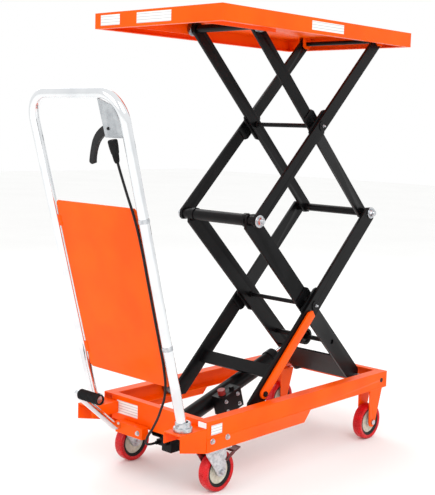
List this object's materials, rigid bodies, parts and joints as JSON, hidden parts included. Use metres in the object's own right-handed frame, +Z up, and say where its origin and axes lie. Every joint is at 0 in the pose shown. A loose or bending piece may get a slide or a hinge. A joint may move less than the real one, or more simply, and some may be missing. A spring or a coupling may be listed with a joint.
{
  "type": "scissor lift table",
  "caption": "Foot-pumped double scissor lift table on two braked swivel casters and two fixed wheels, with a tubular push handle, shown raised.",
  "frame": {"origin": "on the floor, under the middle of the machine's outer box", "axes": "+Z up, +X from the push handle to the front wheels, +Y to the left side"},
  "size_m": [1.2188, 0.51, 1.3601],
  "materials": {
    "orange_paint": "gloss powder coat",
    "black_paint": "semi-gloss powder coat",
    "chrome": "bright chrome plate",
    "zinc": "bright zinc plate",
    "grey_steel": "grey paint",
    "black_plastic": "moulded",
    "red_tread": "cast polyurethane",
    "roller_steel": "turned",
    "pedal_rubber": "ribbed"
  },
  "bodies": {
    "chassis": {"left_side_rail": "orange_paint", "left_front_fork": "orange_paint", "left_front_axle": "zinc", "left_rear_corner": "orange_paint", "left_handle_collar": "zinc", "left_caster_plate": "zinc", "right_side_rail": "orange_paint", "right_front_fork": "orange_paint", "right_front_axle": "zinc", "right_rear_corner": "orange_paint", "right_handle_collar": "zinc", "right_caster_plate": "zinc", "front_cross_member": "orange_paint", "rear_cross_member": "orange_paint", "ram_bracket": "black_paint", "base_pivot_shaft": "zinc", "handle_tube": "chrome", "handle_panel": "orange_paint", "lever_bracket": "grey_steel", "release_cable": "black_plastic", "foot_pump": "black_paint"},
    "lower_inner": {"left_lower_inner_arm": "black_paint", "right_lower_inner_arm": "black_paint", "lower_inner_plate": "black_paint", "ram_pin": "zinc", "middle_rear_tube": "black_paint"},
    "lower_outer": {"left_lower_outer_arm": "black_paint", "right_lower_outer_arm": "black_paint", "lower_outer_tie": "black_paint", "lower_centre_shaft": "black_paint", "middle_front_tube": "black_paint"},
    "upper_outer": {"left_upper_outer_arm": "black_paint", "right_upper_outer_arm": "black_paint", "upper_centre_shaft": "black_paint", "upper_front_shaft": "black_paint"},
    "upper_inner": {"left_upper_inner_arm": "black_paint", "right_upper_inner_arm": "black_paint", "upper_rear_tube": "black_paint"},
    "platform": {"table_tray": "orange_paint"},
    "ram_barrel": {"ram_barrel": "black_paint", "valve_block": "black_paint"},
    "ram_rod": {"ram_rod": "chrome"},
    "strut": {"safety_strut": "orange_paint"},
    "pedal": {"pedal_socket": "orange_paint", "pedal_tube": "chrome", "pedal_grip": "pedal_rubber"},
    "trigger": {"release_trigger": "black_plastic"},
    "left_foot_roller": {"left_foot_roller": "roller_steel"},
    "left_top_roller": {"left_top_roller": "roller_steel"},
    "left_front_wheel": {"left_front_wheel": "red_tread"},
    "left_caster": {"left_caster_fork": "zinc"},
    "left_rear_wheel": {"left_rear_wheel": "red_tread"},
    "left_brake": {"left_brake_pedal": "orange_paint"},
    "right_foot_roller": {"right_foot_roller": "roller_steel"},
    "right_top_roller": {"right_top_roller": "roller_steel"},
    "right_front_wheel": {"right_front_wheel": "red_tread"},
    "right_caster": {"right_caster_fork": "zinc"},
    "right_rear_wheel": {"right_rear_wheel": "red_tread"},
    "right_brake": {"right_brake_pedal": "orange_paint"}
  },
  "joints": [
    {"name": "fold", "type": "hinge", "parent": "chassis", "child": "lower_inner", "pos_m": [0.55539, 0, 0.1985], "axis": [0, -1, 0], "range_deg": [0, 40]},
    {"name": "lower_cross", "type": "hinge", "parent": "lower_inner", "child": "lower_outer", "pos_m": [0.26762, 0, 0.48277], "axis": [0, -1, 0], "range_deg": [-80, 0]},
    {"name": "middle_rear", "type": "hinge", "parent": "lower_inner", "child": "upper_outer", "pos_m": [-0.02014, 0, 0.76704], "axis": [0, -1, 0], "range_deg": [-80, 0]},
    {"name": "upper_cross", "type": "hinge", "parent": "upper_outer", "child": "upper_inner", "pos_m": [0.26762, 0, 1.05132], "axis": [0, -1, 0], "range_deg": [0, 80]},
    {"name": "platform_hinge", "type": "hinge", "parent": "upper_outer", "child": "platform", "pos_m": [0.55539, 0, 1.33559], "axis": [0, -1, 0], "range_deg": [0, 40]},
    {"name": "ram_tilt", "type": "hinge", "parent": "chassis", "child": "ram_barrel", "pos_m": [-0.18761, 0, 0.15], "axis": [0, -1, 0], "range_deg": [-9.89, 0]},
    {"name": "ram_stroke", "type": "slide", "parent": "ram_barrel", "child": "ram_rod", "axis": [0.9539, 0, 0.3002], "range_m": [-0.09039, 0]},
    {"name": "strut_swing", "type": "hinge", "parent": "lower_outer", "child": "strut", "pos_m": [0.02254, -0.162, 0.24067], "axis": [0, 1, 0], "range_deg": [0, 45]},
    {"name": "pedal_press", "type": "hinge", "parent": "chassis", "child": "pedal", "pos_m": [-0.30361, 0, 0.142], "axis": [0, -1, 0], "range_deg": [0, 25], "stiffness_Nm_per_rad": 6, "springref_deg": -28.65},
    {"name": "trigger_squeeze", "type": "hinge", "parent": "chassis", "child": "trigger", "pos_m": [-0.57119, -0.118, 1.02837], "axis": [0.9648, 0, 0.263], "range_deg": [0, 20], "stiffness_Nm_per_rad": 0.5, "springref_deg": -34.38},
    {"name": "left_foot_roller_spin", "type": "hinge", "parent": "lower_outer", "child": "left_foot_roller", "pos_m": [-0.02014, 0.202, 0.1985], "axis": [0, 1, 0], "continuous": true},
    {"name": "left_top_roller_spin", "type": "hinge", "parent": "upper_inner", "child": "left_top_roller", "pos_m": [-0.02014, 0.1335, 1.33559], "axis": [0, 1, 0], "continuous": true},
    {"name": "left_front_wheel_spin", "type": "hinge", "parent": "chassis", "child": "left_front_wheel", "pos_m": [0.53439, 0.193, 0.06], "axis": [0, 1, 0], "continuous": true},
    {"name": "left_caster_swivel", "type": "hinge", "parent": "chassis", "child": "left_caster", "pos_m": [-0.22761, 0.18, 0.13], "axis": [0, 0, 1], "continuous": true},
    {"name": "left_rear_wheel_spin", "type": "hinge", "parent": "left_caster", "child": "left_rear_wheel", "pos_m": [-0.20061, 0.18, 0.06], "axis": [0, 1, 0], "continuous": true},
    {"name": "left_brake_press", "type": "hinge", "parent": "left_caster", "child": "left_brake", "pos_m": [-0.16061, 0.18, 0.1057], "axis": [0, 1, 0], "range_deg": [0, 12]},
    {"name": "right_foot_roller_spin", "type": "hinge", "parent": "lower_outer", "child": "right_foot_roller", "pos_m": [-0.02014, -0.202, 0.1985], "axis": [0, 1, 0], "continuous": true},
    {"name": "right_top_roller_spin", "type": "hinge", "parent": "upper_inner", "child": "right_top_roller", "pos_m": [-0.02014, -0.1335, 1.33559], "axis": [0, 1, 0], "continuous": true},
    {"name": "right_front_wheel_spin", "type": "hinge", "parent": "chassis", "child": "right_front_wheel", "pos_m": [0.53439, -0.193, 0.06], "axis": [0, 1, 0], "continuous": true},
    {"name": "right_caster_swivel", "type": "hinge", "parent": "chassis", "child": "right_caster", "pos_m": [-0.22761, -0.18, 0.13], "axis": [0, 0, 1], "continuous": true},
    {"name": "right_rear_wheel_spin", "type": "hinge", "parent": "right_caster", "child": "right_rear_wheel", "pos_m": [-0.20061, -0.18, 0.06], "axis": [0, 1, 0], "continuous": true},
    {"name": "right_brake_press", "type": "hinge", "parent": "right_caster", "child": "right_brake", "pos_m": [-0.16061, -0.18, 0.1057], "axis": [0, 1, 0], "range_deg": [0, 12]}
  ],
  "couplings": [
    {"joint": "lower_cross", "follows": "fold", "ratio": -2},
    {"joint": "middle_rear", "follows": "fold", "ratio": -2},
    {"joint": "upper_cross", "follows": "fold", "ratio": 2},
    {"joint": "platform_hinge", "follows": "fold", "ratio": 1},
    {"joint": "ram_tilt", "follows": "fold", "ratio": -0.247},
    {"joint": "ram_stroke", "follows": "fold", "m_per_rad": -0.12933}
  ]
}
